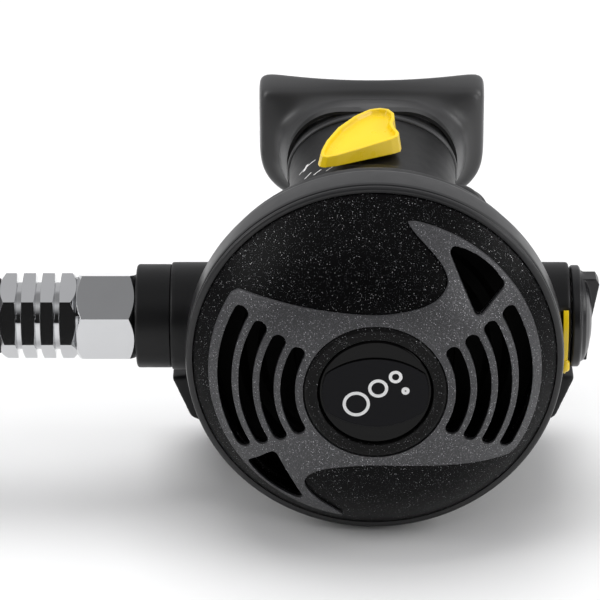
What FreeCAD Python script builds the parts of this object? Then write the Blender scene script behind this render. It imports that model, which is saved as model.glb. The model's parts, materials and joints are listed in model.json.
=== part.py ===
import FreeCAD, Part
import math
import os
import re
import Sketcher

# Second stage of a diving regulator with its low-pressure hose.
# Frame: +X to the diver's-left knob, -X to the hose, -Y out of the front cover, +Y to the mouthpiece, +Z up.
# The origin lies on the flat foot under the exhaust tee. Every piece is drawn about the valve axis,
# which runs along X, and its Placement then lifts it to axis_height.

Vector = FreeCAD.Vector

SIZES = {
    "axis_height": 43.5,
    # retaining ring and case rim
    "ring_radius": 42.5, "ring_wall": 1.05, "ring_depth": 10.0, "ring_front": 24.0,
    "ring_lip": 0.7, "thread_gap": 0.15, "rim_front": 21.0, "rim_wall": 3.7, "case_wall": 2.4,
    "bowl_back": 14.5, "ledge_depth": 4.0, "ledge_width": 1.6,
    # front cover
    "dome_rise": 16.0, "dome_power": 3.2, "cover_wall": 2.0, "slot_width": 3.2, "slot_first": 19.3,
    "slot_pitch": 4.7, "slot_half_angle": 28.0, "accent_rise": 0.7, "accent_gap": 0.05,
    # purge button group
    "bezel_radius": 15.8, "bezel_rise": 1.0, "bezel_sleeve": 14.9, "bezel_length": 9.5,
    "button_radius": 12.6, "button_gap": 0.2, "button_recess": 0.5, "button_thick": 2.4,
    "button_stem": 3.0, "badge_thick": 0.5, "purge_travel": 4.0, "purge_gap": 0.3,
    # diaphragm and lever
    "plate_radius": 17.8, "plate_thick": 0.8, "plate_front": 19.5, "membrane_thick": 0.8,
    "bead_thick": 1.9, "lever_thick": 1.2, "lever_pivot_x": 11.8, "lever_pivot_y": 6.5,
    "lever_tip_x": -4.0, "lever_width": 8.0, "knuckle_radius": 0.6, "leg_reach": 0.6,
    "corrugation": 1.8,
    # valve along X
    "barrel_radius": 9.0, "barrel_bore": 7.5, "barrel_gap": 0.05, "barrel_inset": 1.2,
    "boss_radius": 12.4, "left_reach": 3.9, "right_reach": 2.1, "window_start": 1.0,
    "nipple_radius": 7.0, "nipple_bore": 5.4, "nipple_length": 6.0,
    "orifice_setback": 8.4, "orifice_bore": 2.0, "seat_thick": 1.8, "seat_radius": 4.3,
    "poppet_head": 4.0, "poppet_shaft": 2.2, "shoulder_gap": 0.2, "shoulder_thick": 1.4,
    "shoulder_radius": 6.2, "spring_radius": 4.6, "spring_wire": 0.9,
    "adjuster_setback": 16.6, "adjuster_length": 6.0, "spindle_radius": 2.9,
    "knob_radius": 11.7, "knob_gap": 0.3, "knob_disc": 2.3, "knob_dome": 2.6, "fin_rise": 6.6,
    "fin_thick": 4.6, "fin_reach": 10.2, "clip_thick": 0.9, "clip_width": 1.2, "clip_inset": 0.6,
    "clip_first": 150.0, "clip_last": 262.0, "clip_bump": 1.5,
    "clip_room": 0.1, "bump_turn": 213.0, "bump_inset": 0.6,
    # inlet fittings
    "collar_radius": 11.9, "collar_length": 7.9, "nut_flats": 19.0, "nut_length": 13.6,
    "nut_turn": 39.4, "stem_radius": 5.2, "ferrule_corners": 20.0, "ferrule_length": 17.4,
    "ferrule_turn": 17.3, "groove_width": 1.0, "groove_depth": 0.9, "fitting_gap": 0.1,
    "hose_radius": 6.5, "protector_radius": 8.75, "protector_tip": 7.5, "protector_length": 30.0,
    # mouth tube, mouthpiece and venturi lever
    "tube_height": 16.0, "tube_width": 40.0, "tube_tall": 28.0, "tube_root_width": 46.0,
    "tube_root_tall": 30.5, "tube_end": 47.5, "spigot_wall": 2.2, "spigot_length": 12.0,
    "mouth_bore_width": 31.0, "mouth_bore_tall": 19.4, "rubber_wall": 2.7, "flange_width": 55.0,
    "flange_tall": 34.0, "flange_reach": 16.5, "flange_curve": 69.0, "flange_thick": 1.0,
    "lug_reach": 17.0, "lug_tall": 13.0, "lug_thick": 6.0, "lug_centre": 22.0,
    "pivot_x": 0.5, "pivot_y": 28.0, "venturi_base": 30.7, "venturi_rise": 4.8, "venturi_stem": 2.2,
    # exhaust
    "exhaust_drop": 20.0, "exhaust_box": 15.5, "exhaust_bore": 10.5, "exhaust_disc": 12.8,
    "exhaust_sheet": 0.9, "tee_wall": 2.0, "tee_depth": 31.0, "tee_front": 5.0, "foot_half": 22.0,
    "foot_front": 8.0, "tee_gap": 0.2,
    # hose and its far end
    "coil_centre_x": -200.0, "coil_centre_y": 68.0, "coil_inner": 66.0, "coil_pitch": 14.0,
    "coil_turns": 1.2, "coil_start_angle": -110.0, "end_ferrule_height": 10.2,
    "end_hex_flats": 14.0, "end_hex_length": 8.0, "end_thread": 4.76, "end_thread_length": 9.0,
    "oring_section": 1.2,
}

document = FreeCAD.newDocument("second_stage")
sheet = document.addObject("Spreadsheet::Sheet", "Dimensions")
for row, (name, size) in enumerate(SIZES.items(), start=1):
    sheet.set(f"A{row}", name)
    sheet.set(f"B{row}", str(size))
    sheet.setAlias(f"B{row}", name)
document.recompute()

pieces = {}

# Sizes that follow from others. Each is worked out once and put in the sheet as a plain number.
FOLLOWING = {
    "boss_left": "ring_radius + left_reach", "boss_right": "ring_radius + right_reach",
    "barrel_right": "boss_right - barrel_inset", "knob_start": "boss_right + knob_gap",
    "orifice_tip": "boss_left - orifice_setback", "adjuster_x": "boss_right - adjuster_setback",
    "shoulder_x": "lever_pivot_x + leg_reach + shoulder_gap",
    "flange_start": "tube_end + flange_reach", "flange_centre": "flange_start + flange_thick",
}


def bound(text):
    """The same expression with every size read from the sheet."""
    def full_name(word):
        return "Dimensions." + word.group() if word.group() in SIZES else word.group()
    return re.sub(r"[a-z_]\w*", full_name, text)


def number(text):
    return float(sheet.evalExpression(bound(text)))


def size(name):
    return float(sheet.get(name))


def follow(name, value):
    """Adds one more size to the sheet, below the driving ones."""
    SIZES[name] = value
    row = len(SIZES)
    sheet.set(f"A{row}", name)
    sheet.set(f"B{row}", str(value))
    sheet.setAlias(f"B{row}", name)
    document.recompute()


for following, text in FOLLOWING.items():
    follow(following, round(number(text), 4))


def place(item, label):
    """Names a finished sub-part and lifts it from the valve axis to its height."""
    item.Label = label
    item.setExpression("Placement.Base.z", bound("axis_height"))
    pieces[label] = item


def feature(label, shape):
    item = document.addObject("Part::Feature", label)
    item.Shape = shape
    place(item, label)


# ---------------------------------------------------------------- bound sub-parts

def profile_sketch(body, name, corners):
    """A closed outline on the body's XY plane, each corner bound to the sheet."""
    sketch = body.newObject("Sketcher::SketchObject", name)
    plane = [part for part in body.Origin.OriginFeatures if part.Role == "XY_Plane"][0]
    sketch.AttachmentSupport = (plane, [""])
    sketch.MapMode = "FlatFace"
    spots = [Vector(number(across), number(up), 0) for across, up in corners]
    count = len(spots)
    for index, spot in enumerate(spots):
        sketch.addGeometry(Part.LineSegment(spot, spots[(index + 1) % count]), False)
    for index in range(count):
        sketch.addConstraint(Sketcher.Constraint("Coincident", index, 2, (index + 1) % count, 1))
    for index, (across, up) in enumerate(corners):
        for kind, text in (("DistanceX", across), ("DistanceY", up)):
            held = Sketcher.Constraint(kind, -1, 1, index, 1, number(text))
            slot = sketch.addConstraint(held)
            sketch.renameConstraint(slot, f"{kind}_{index}")
            sketch.setExpression(f"Constraints.{kind}_{index}", bound(text))
    return sketch


def turned_body(name, spin, profile):
    """A body turned about X or Y; the profile lists (along the axis, radius)."""
    body = document.addObject("PartDesign::Body", name)
    corners = profile if spin == "X" else [(radius, along) for along, radius in profile]
    sketch = profile_sketch(body, name + "_profile", corners)
    turn = body.newObject("PartDesign::Revolution", name + "_turn")
    turn.Profile = sketch
    turn.ReferenceAxis = (sketch, ["H_Axis" if spin == "X" else "V_Axis"])
    turn.Angle = 360
    document.recompute()
    return body


def turned(label, spin, profile):
    place(turned_body(label, spin, profile), label)


def hexagonal(label, corner_radius, turn, start, length, profile):
    """A hexagon bar along -X, turned down to a profile about X."""
    bar = document.addObject("Part::Prism", label + "_bar")
    bar.Polygon = 6
    bar.setExpression("Circumradius", bound(corner_radius))
    bar.setExpression("Height", bound(length))
    spin = FreeCAD.Rotation(Vector(1, 0, 0), number(turn))
    lay = FreeCAD.Rotation(Vector(0, 0, 1), Vector(-1, 0, 0))
    level = FreeCAD.Rotation(Vector(1, 0, 0), hexagon_offset(lay))
    bar.Placement = FreeCAD.Placement(Vector(0, 0, 0), spin.multiply(level).multiply(lay))
    bar.setExpression("Placement.Base.x", bound(start))
    common = document.addObject("Part::Common", label)
    common.Base = bar
    common.Tool = turned_body(label + "_turning", "X", profile)
    place(common, label)


def hexagon_offset(lay):
    """The turn about X that brings the laid bar's first corner to +Y."""
    corner = lay.multVec(Vector(1, 0, 0))
    return -math.degrees(math.atan2(corner.z, corner.y))


def ring_seal(label, along, radius, section):
    """An O-ring about the valve axis."""
    ring = document.addObject("Part::Torus", label)
    ring.setExpression("Radius1", bound(radius))
    ring.setExpression("Radius2", bound(section))
    ring.Placement = FreeCAD.Placement(Vector(0, 0, 0), FreeCAD.Rotation(Vector(0, 1, 0), 90))
    ring.setExpression("Placement.Base.x", bound(along))
    place(ring, label)


# ---------------------------------------------------------------- plain shape helpers

def lathe(profile, spin="Y"):
    """A solid of revolution about X or Y from (along, radius) pairs in millimetres."""
    if spin == "Y":
        spots = [Vector(radius, along, 0) for along, radius in profile]
        axis = Vector(0, 1, 0)
    else:
        spots = [Vector(along, radius, 0) for along, radius in profile]
        axis = Vector(1, 0, 0)
    face = Part.Face(Part.makePolygon(spots + spots[:1]))
    return solid_of(face.revolve(Vector(0, 0, 0), axis, 360))


def solid_of(shape):
    """One solid with its faces outwards."""
    solid = shape.Solids[0] if shape.Solids else Part.Solid(Part.Shell(shape.Faces))
    if solid.Volume < 0:
        solid.reverse()
    return solid


def rod(start, end, radius):
    along = end - start
    return Part.makeCylinder(radius, along.Length, start, along)


def block(low, high):
    span = Vector(*high) - Vector(*low)
    return Part.makeBox(span.x, span.y, span.z, Vector(*low))


def flat_prism(edges, low, high):
    """An outline in the XZ plane, pushed from Y = low to Y = high."""
    face = Part.Face(Part.Wire(edges))
    face.translate(Vector(0, low, 0))
    return face.extrude(Vector(0, high - low, 0))


def smooth(spots):
    curve = Part.BSplineCurve()
    curve.interpolate(spots)
    return curve.toShape()


def straight(start, end):
    return Part.makeLine(start, end)


def flat(x, z):
    return Vector(x, 0, z)


def oval(width, tall, along):
    """An ellipse across Y, level with the mouth tube."""
    curve = Part.Ellipse(Vector(0, along, size("tube_height")), width / 2, tall / 2)
    curve.Axis = Vector(0, 1, 0)
    curve.XAxis = Vector(1, 0, 0)
    return Part.Wire(curve.toShape())


def soft_rectangle(width, tall, corner, along):
    """A rectangle with round corners across Y, level with the mouth tube."""
    middle = size("tube_height")
    side = width / 2
    top = tall / 2
    bend = corner * (1 - math.sqrt(0.5))
    edges = []
    signs = [(1, 1), (-1, 1), (-1, -1), (1, -1)]
    for index, (right, up) in enumerate(signs):
        upright = Vector(right * side, along, middle + up * (top - corner))
        middle_spot = Vector(right * (side - bend), along, middle + up * (top - bend))
        level = Vector(right * (side - corner), along, middle + up * top)
        spots = [upright, middle_spot, level] if right * up > 0 else [level, middle_spot, upright]
        edges.append(Part.Arc(*spots).toShape())
        next_right, next_up = signs[(index + 1) % 4]
        if right == next_right:
            end = Vector(right * side, along, middle + next_up * (top - corner))
        else:
            end = Vector(next_right * (side - corner), along, middle + up * top)
        edges.append(straight(spots[2], end))
    return Part.Wire(edges)


def loft(wires, ruled=False):
    return solid_of(Part.makeLoft(wires, True, ruled))


# ---------------------------------------------------------------- case

def bowl(grow=0.0):
    """The outside of the case behind the ring, grown by a clearance where asked."""
    rim = size("ring_radius") - size("ring_wall") - size("thread_gap")
    back = size("bowl_back") + grow
    return lathe([(-size("rim_front"), 0), (-size("rim_front"), rim + grow), (-13.9, rim + grow),
                  (-13.9, rim + 0.3 + grow), (-9.5, rim - 0.3 + grow), (-5.5, 38.4 + grow),
                  (-1.0, 35.2 + grow), (5.0, 32.4 + grow), (10.5, 28.0 + grow),
                  (back, 22.5 + grow), (back, 0)])


def cavity():
    """The dry chamber behind the diaphragm, with the ledge that the diaphragm lies on."""
    wall = size("case_wall")
    front = -size("rim_front")
    bore = size("ring_radius") - size("ring_wall") - size("thread_gap") - size("rim_wall")
    ledge = front + size("ledge_depth")
    back = size("bowl_back") - wall
    return lathe([(front - 1, 0), (front - 1, bore), (ledge, bore), (ledge, bore - size("ledge_width")),
                  (-9.5, bore - size("ledge_width")), (-1.0, 35.2 - 1.2 * wall),
                  (5.0, 32.4 - 1.3 * wall), (10.0, 28.0 - 1.3 * wall), (back, 20.0), (back, 0)])


def make_case():
    boss = size("boss_radius")
    tube_end = size("tube_end")
    drop = -size("exhaust_drop")
    back = size("bowl_back")
    tube = loft([oval(size("tube_root_width"), size("tube_root_tall"), -4),
                 oval(size("tube_width"), size("tube_tall"), 26),
                 oval(size("tube_width"), size("tube_tall"), tube_end)])
    spigot_width = size("tube_width") - 2 * size("spigot_wall")
    spigot_tall = size("tube_tall") - 2 * size("spigot_wall")
    spigot = loft([oval(spigot_width, spigot_tall, tube_end - 2),
                   oval(spigot_width, spigot_tall, tube_end + size("spigot_length"))], ruled=True)
    shoulder = Part.makeSphere(7.0, Vector(18.5, 2, 24.5))
    lobe = Part.makeSphere(6.0, Vector(20.5, 8, 22))
    outside = bowl().fuse([
        rod(Vector(-size("boss_left"), 0, 0), Vector(size("boss_right"), 0, 0), boss),
        tube, spigot, shoulder, lobe,
        rod(Vector(0, 0, drop), Vector(0, back, drop), size("exhaust_box"))])
    barrel_room = size("barrel_radius") + size("barrel_gap")
    breathing = loft([oval(size("mouth_bore_width"), size("mouth_bore_tall"), 0),
                      oval(size("mouth_bore_width"), size("mouth_bore_tall"), tube_end + 20)], ruled=True)
    pivot = Vector(size("pivot_x"), size("pivot_y"), 0)
    stem_room = size("venturi_stem") + 0.1
    groove = clip_band(size("clip_room"), 2.0)
    inside = cavity().fuse([
        rod(Vector(-60, 0, 0), Vector(60, 0, 0), barrel_room), breathing,
        rod(Vector(0, 4, drop), Vector(0, back + 5, drop), size("exhaust_bore"))])
    recess_floor = size("tube_height") + size("tube_tall") / 2 - 0.6
    shape = outside.cut([inside, groove,
                         rod(pivot + Vector(0, 0, 20), pivot + Vector(0, 0, 40), stem_room),
                         block((-9, 18.7, recess_floor), (6.2, 38, recess_floor + 5))])
    bore = size("exhaust_bore")
    bar = 0.9
    spider = block((-bore - 0.5, back - 2, drop - bar), (bore + 0.5, back, drop + bar)).fuse([
        block((-bar, back - 2, drop - bore - 0.5), (bar, back, drop + bore + 0.5)),
        rod(Vector(0, back - 2, drop), Vector(0, back, drop), 2.6)])
    spider = spider.cut(rod(Vector(0, back - 3, drop), Vector(0, back + 1, drop), 1.15))
    feature("case", solid_of(shape.fuse(spider).removeSplitter()))


def make_ring():
    turned("retaining_ring", "Y", [
        ("-ring_front", "ring_radius - ring_wall - 0.6"),
        ("-ring_front", "ring_radius - 0.4"),
        ("-ring_front + 0.4", "ring_radius"),
        ("-ring_front + ring_depth - 0.8", "ring_radius"),
        ("-ring_front + ring_depth", "ring_radius - 0.6"),
        ("-ring_front + ring_depth", "ring_radius - ring_wall"),
        ("-ring_front + ring_lip", "ring_radius - ring_wall"),
        ("-ring_front + ring_lip", "ring_radius - ring_wall - 0.6")])


# ---------------------------------------------------------------- front cover

def dome_height(radius):
    foot = size("ring_radius") - size("ring_wall") - 0.6
    return size("dome_rise") * (1 - (radius / foot) ** size("dome_power"))


def dome_line(inner, outer, lift):
    """The cover's curve between two radii, lifted off the dome by a distance along -Y."""
    count = 9
    spots = []
    for index in range(count):
        radius = inner + (outer - inner) * index / (count - 1)
        spots.append(Vector(radius, -size("ring_front") - dome_height(radius) - lift, 0))
    return spots


def dome_shell(inner, outer, low, high):
    """A shell of revolution that follows the dome between two lifts."""
    below = dome_line(inner, outer, low)
    above = dome_line(inner, outer, high)
    wire = Part.Wire([smooth(below), straight(below[-1], above[-1]),
                      smooth(above), straight(above[0], below[0])])
    return solid_of(Part.Face(wire).revolve(Vector(0, 0, 0), Vector(0, 1, 0), 360))


def polar(radius, degrees):
    return flat(radius * math.cos(math.radians(degrees)), radius * math.sin(math.radians(degrees)))


def arc_slot(radius, facing):
    """One curved slot with round ends, cut right through along Y."""
    half = size("slot_width") / 2
    reach = size("slot_half_angle")
    cap = math.degrees(half / radius)
    spots = [polar(radius + half, facing - reach), polar(radius + half, facing),
             polar(radius + half, facing + reach), polar(radius, facing + reach + cap),
             polar(radius - half, facing + reach), polar(radius - half, facing),
             polar(radius - half, facing - reach), polar(radius, facing - reach - cap)]
    edges = [Part.Arc(spots[0], spots[1], spots[2]).toShape(),
             Part.Arc(spots[2], spots[3], spots[4]).toShape(),
             Part.Arc(spots[4], spots[5], spots[6]).toShape(),
             Part.Arc(spots[6], spots[7], spots[0]).toShape()]
    return flat_prism(edges, -45, -15)


def rotated_twin(shape):
    twin = shape.copy()
    twin.rotate(Vector(0, 0, 0), Vector(0, 1, 0), 180)
    return twin


def corner_opening():
    """The three-cornered opening inside a fin of the cover."""
    tip = flat(15.4, 31.6)
    far = flat(28.6, 21.6)
    near = flat(22.3, 15.9)
    bulge = flat(23.6, 27.6)
    prism = flat_prism([Part.Arc(tip, bulge, far).toShape(), straight(far, near),
                        straight(near, tip)], -45, -15)
    uprights = [edge for edge in prism.Edges
                if len(edge.Vertexes) == 2 and abs(edge.tangentAt(edge.FirstParameter).y) > 0.99]
    return prism.makeFillet(1.1, uprights)


def cover_openings():
    cutters = []
    for index in range(4):
        radius = size("slot_first") + index * size("slot_pitch")
        cutters.append(arc_slot(radius, 0))
        cutters.append(arc_slot(radius, 180))
    opening = corner_opening()
    cutters.append(opening)
    cutters.append(rotated_twin(opening))
    return cutters


def make_cover():
    foot = size("ring_radius") - size("ring_wall") - 0.6
    front = -size("ring_front")
    hole = size("bezel_sleeve") + 0.1
    shell = dome_shell(hole - 1, foot - 0.1, -size("cover_wall"), 0)
    rim = size("ring_radius") - size("ring_wall") - size("thread_gap")
    bore = rim - size("rim_wall")
    seat = -size("rim_front") + size("ledge_depth") - size("bead_thick")
    flange = lathe([(front + size("ring_lip") + 0.1, bore - 2), (front + size("ring_lip") + 0.1, rim),
                    (-size("rim_front") - 0.05, rim), (-size("rim_front") - 0.05, bore - 0.1),
                    (seat - 0.05, bore - 0.1), (seat - 0.05, bore - 2)])
    wall = lathe([(front, foot - 2.4), (front, foot - 0.1), (front + 1, foot - 0.1),
                  (front + 1, foot - 2.4)])
    shape = shell.fuse([flange, wall])
    shape = shape.cut(cover_openings() + [rod(Vector(0, -50, 0), Vector(0, -10, 0), hole)])
    feature("front_cover", solid_of(shape))


def accent_outline():
    """The raised panel: a barbed band that repeats after half a turn about the button."""
    edge = 37.1
    fin_tip = polar(edge - 0.3, 79)
    top = [flat(-30.2, 20.3), flat(-23, 19.9), flat(-14.4, 19.1), flat(-6.3, 18.5), flat(2, 18.3),
           flat(8.6, 19.2), flat(13.4, 21), flat(15.7, 24.2), flat(14.4, 28), flat(10.8, 32), fin_tip]
    start = polar(edge, 76.5)
    end = polar(edge, -31)
    middle = polar(edge, 23)
    twin_start = -top[0]
    return [smooth(top), straight(fin_tip, start), Part.Arc(start, middle, end).toShape(),
            straight(end, twin_start)]


def make_accent():
    half = accent_outline()
    other = []
    for edge in half:
        twin = edge.copy()
        twin.rotate(Vector(0, 0, 0), Vector(0, 1, 0), 180)
        other.append(twin)
    outline = Part.Wire(Part.__sortEdges__(half + other))
    face = Part.Face(outline)
    face.translate(Vector(0, -45, 0))
    column = face.extrude(Vector(0, 30, 0))
    low = size("accent_gap")
    shell = dome_shell(size("bezel_radius") + 0.15, 38.5, low, low + size("accent_rise"))
    shape = shell.common(column).cut(cover_openings())
    feature("cover_accent", solid_of(shape))


# ---------------------------------------------------------------- purge button group

def button_face():
    """How far in front of the valve axis the cover's crown lies at the bezel."""
    return size("ring_front") + dome_height(size("bezel_radius"))


def make_button_group():
    follow("crown", round(button_face(), 2))
    turned("button_bezel", "Y", [
        ("-crown - bezel_rise", "button_radius + button_gap"),
        ("-crown - bezel_rise", "bezel_radius - 0.7"),
        ("-crown - bezel_rise + 0.5", "bezel_radius"),
        ("-crown - 0.1", "bezel_radius"),
        ("-crown - 0.1", "bezel_sleeve"),
        ("-crown - bezel_rise + bezel_length", "bezel_sleeve"),
        ("-crown - bezel_rise + bezel_length", "button_stem + 0.6"),
        ("-crown - bezel_rise + bezel_length - 1.2", "button_stem + 0.6"),
        ("-crown - bezel_rise + bezel_length - 1.2", "button_radius + button_gap")])
    turned("purge_button", "Y", [
        ("-crown - bezel_rise + button_recess", "0"),
        ("-crown - bezel_rise + button_recess", "button_radius - 0.5"),
        ("-crown - bezel_rise + button_recess + 0.4", "button_radius"),
        ("-crown - bezel_rise + button_recess + button_thick", "button_radius"),
        ("-crown - bezel_rise + button_recess + button_thick", "button_stem"),
        ("-plate_front - purge_gap", "button_stem"),
        ("-plate_front - purge_gap", "0")])
    front = -size("crown") - size("bezel_rise") + size("button_recess")
    badge_radius = 17.5
    lens = rod(Vector(0, front - size("badge_thick"), -9.2), Vector(0, front, -9.2), badge_radius)
    lens = lens.common(rod(Vector(0, front - 2, 9.2), Vector(0, front + 1, 9.2), badge_radius))
    lens = lens.common(rod(Vector(0, front - 2, 0), Vector(0, front + 1, 0), size("button_radius") - 0.8))
    feature("button_badge", solid_of(lens))
    wire = size("spring_wire") / 2
    start = front + size("button_thick") + wire + 0.1
    end = -size("crown") - size("bezel_rise") + size("bezel_length") - 1.2 - wire - 0.1
    feature("purge_spring", coil_spring(8.0, wire, start, end, 3.0, "Y"))


def coil_spring(radius, wire, start, end, turns, along):
    """An open coil spring between two stations of X or Y, measured at its wire's centre."""
    length = end - start
    helix = Part.makeHelix(length / turns, length, radius)
    spot = Vector(radius, 0, 0)
    section = Part.Wire(Part.makeCircle(wire, spot, Vector(0, 1, 0)))
    spring = solid_of(Part.Wire(helix).makePipeShell([section], True, True))
    if along == "Y":
        spring.rotate(Vector(0, 0, 0), Vector(1, 0, 0), -90)
        spring.translate(Vector(0, start, 0))
    else:
        spring.rotate(Vector(0, 0, 0), Vector(0, 1, 0), 90)
        spring.translate(Vector(start, 0, 0))
    return spring


# ---------------------------------------------------------------- diaphragm and demand lever

def make_diaphragm():
    turned("diaphragm_plate", "Y", [
        ("-plate_front", "0"), ("-plate_front", "plate_radius"),
        ("-plate_front + plate_thick", "plate_radius"), ("-plate_front + plate_thick", "0")])
    bore = "ring_radius - ring_wall - thread_gap - rim_wall"
    ledge = "-rim_front + ledge_depth"
    web = "-plate_front + plate_thick"
    turned("diaphragm_membrane", "Y", [
        (ledge + " - bead_thick", bore + " - 0.2"), (ledge, bore + " - 0.2"),
        (ledge, bore + " - 2.2"), (web, bore + " - 2.2"),
        (web, "31"), (web + " + corrugation", "29"), (web + " + corrugation", "26"), (web, "24"),
        (web, "plate_radius + 0.3"), (web + " - membrane_thick", "plate_radius + 0.3"),
        (web + " - membrane_thick", "24.4"), (web + " + corrugation - membrane_thick", "26.3"),
        (web + " + corrugation - membrane_thick", "28.7"), (web + " - membrane_thick", "30.6"),
        (web + " - membrane_thick", bore + " - 2.4"), (ledge + " - bead_thick", bore + " - 2.4")])


def make_demand_lever():
    half = size("lever_thick") / 2
    pivot = Vector(size("lever_pivot_x"), -size("lever_pivot_y"), 0)
    tip = Vector(size("lever_tip_x"), -size("plate_front") + size("plate_thick") + 0.5 + half, 0)
    wide = size("lever_width") / 2
    along = tip - pivot
    side = Vector(-along.y, along.x, 0).normalize() * half
    corners = [pivot + side, tip + side, tip - side, pivot - side]
    arm = Part.Face(Part.makePolygon(corners + corners[:1]))
    arm.translate(Vector(0, 0, -wide * 0.6))
    arm = arm.extrude(Vector(0, 0, wide * 1.2))
    span = Vector(0, 0, wide * 1.35)
    knuckle = rod(pivot - span, pivot + span, size("knuckle_radius"))
    nose = rod(tip - Vector(0, 0, wide * 0.6), tip + Vector(0, 0, wide * 0.6), half)
    shape = arm.fuse([knuckle, nose])
    inner = size("poppet_shaft") + 0.6
    for up in (-1, 1):
        low = min(up * inner, up * span.z)
        high = max(up * inner, up * span.z)
        shape = shape.fuse(block((pivot.x - 0.7, pivot.y, low), (pivot.x + size("leg_reach"), -0.5, high)))
    feature("demand_lever", solid_of(shape.removeSplitter()))


# ---------------------------------------------------------------- valve train along X

def make_valve():
    barrel = turned_body("barrel_turning", "X", [
        ("-boss_left - collar_length - nipple_length", "nipple_bore"),
        ("-boss_left - collar_length - nipple_length", "nipple_radius"),
        ("-boss_left - collar_length", "nipple_radius"), ("-boss_left - collar_length", "barrel_radius"),
        ("barrel_right", "barrel_radius"), ("barrel_right", "spindle_radius + 0.1"),
        ("barrel_right - 1.5", "spindle_radius + 0.1"), ("barrel_right - 1.5", "barrel_bore"),
        ("-boss_left - collar_length + 1.8", "barrel_bore"),
        ("-boss_left - collar_length + 1.8", "nipple_bore")])
    window = document.addObject("Part::Box", "barrel_window")
    window.setExpression("Length", bound("lever_pivot_x + 6"))
    window.setExpression("Width", bound("barrel_radius"))
    window.setExpression("Height", bound("lever_width * 1.5"))
    window.setExpression("Placement.Base.x", bound("window_start"))
    window.setExpression("Placement.Base.y", bound("-barrel_radius - lever_pivot_y + 3"))
    window.setExpression("Placement.Base.z", bound("-lever_width * 0.75"))
    cut = document.addObject("Part::Cut", "valve_barrel")
    cut.Base = barrel
    cut.Tool = window
    place(cut, "valve_barrel")
    turned("orifice", "X", [
        ("-boss_left - collar_length + 2", "orifice_bore"),
        ("-boss_left - collar_length + 2", "barrel_bore - 0.1"),
        ("-orifice_tip - 3", "barrel_bore - 0.1"), ("-orifice_tip - 1.5", "orifice_bore + 1.6"),
        ("-orifice_tip", "orifice_bore + 0.6"), ("-orifice_tip", "orifice_bore")])
    turned("poppet_seat", "X", [
        ("-orifice_tip + 0.02", "0"), ("-orifice_tip + 0.02", "seat_radius"),
        ("-orifice_tip + seat_thick", "seat_radius"), ("-orifice_tip + seat_thick", "0")])
    turned("poppet", "X", [
        ("-orifice_tip + seat_thick", "0"), ("-orifice_tip + seat_thick", "barrel_bore - 0.15"),
        ("-orifice_tip + seat_thick + poppet_head", "barrel_bore - 0.15"),
        ("-orifice_tip + seat_thick + poppet_head", "poppet_shaft"),
        ("shoulder_x", "poppet_shaft"), ("shoulder_x", "shoulder_radius"),
        ("shoulder_x + shoulder_thick", "shoulder_radius"),
        ("shoulder_x + shoulder_thick", "poppet_shaft"),
        ("adjuster_x - 3", "poppet_shaft"), ("adjuster_x - 3", "0")])
    wire = size("spring_wire") / 2
    start = size("shoulder_x") + size("shoulder_thick") + wire + 0.1
    feature("poppet_spring", coil_spring(size("spring_radius"), wire, start,
                                         size("adjuster_x") - wire - 0.1, 5.0, "X"))
    turned("spring_adjuster", "X", [
        ("adjuster_x", "spindle_radius + 0.1"), ("adjuster_x", "barrel_bore - 0.1"),
        ("adjuster_x + adjuster_length", "barrel_bore - 0.1"),
        ("adjuster_x + adjuster_length", "spindle_radius + 0.1")])
    turned("knob_spindle", "X", [
        ("adjuster_x + 1.5", "0"), ("adjuster_x + 1.5", "spindle_radius"),
        ("barrel_right - 3.5", "spindle_radius"), ("barrel_right - 3.5", "5"),
        ("barrel_right - 1.7", "5"), ("barrel_right - 1.7", "spindle_radius"),
        ("knob_start", "spindle_radius"), ("knob_start", "0")])
    ring_seal("spindle_oring", "barrel_right - 4.3", "spindle_radius + oring_section / 2",
              "oring_section / 2")


def make_knob():
    start = size("knob_start")
    radius = size("knob_radius")
    disc = start + size("knob_disc")
    top = disc + size("knob_dome")
    shape = lathe([(start, 0), (start, radius - 0.4), (start + 0.4, radius), (disc - 0.4, radius),
                   (disc, radius - 0.4), (disc + 0.05, radius - 1.0), (disc + 1.0, radius - 1.6),
                   (disc + 1.9, radius - 3.6), (top, radius - 7), (top, 0)], "X")
    half = size("fin_thick") / 2
    reach = start + size("fin_rise")
    tall = size("fin_reach")
    fin = [Vector(disc - 1, 0, tall), Vector(reach - 0.8, 0, tall), Vector(reach, 0, tall - 1.4),
           Vector(reach - 1.6, 0, 0), Vector(disc + 1.9, 0, -tall), Vector(disc - 1, 0, -tall)]
    face = Part.Face(Part.makePolygon(fin + fin[:1]))
    face.translate(Vector(0, -half, 0))
    grip = face.extrude(Vector(0, 2 * half, 0))
    feature("adjustment_knob", solid_of(shape.fuse(grip).removeSplitter()))


def clip_band(room, extra_turn):
    """The part of a ring, round the right-hand boss, that the clip fills; room is its clearance."""
    end = size("boss_right") - size("clip_inset") + room
    start = end - size("clip_width") - 2 * room
    outer = size("boss_radius") + size("clip_thick") + room
    inner = size("boss_radius") - size("clip_thick") - room
    corners = [Vector(start, inner, 0), Vector(end, inner, 0), Vector(end, outer, 0),
               Vector(start, outer, 0)]
    section = Part.Face(Part.makePolygon(corners + corners[:1]))
    first = size("clip_first") - extra_turn
    turn = size("clip_last") + extra_turn - first
    section.rotate(Vector(0, 0, 0), Vector(1, 0, 0), first)
    return solid_of(section.revolve(Vector(0, 0, 0), Vector(1, 0, 0), turn))


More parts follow.
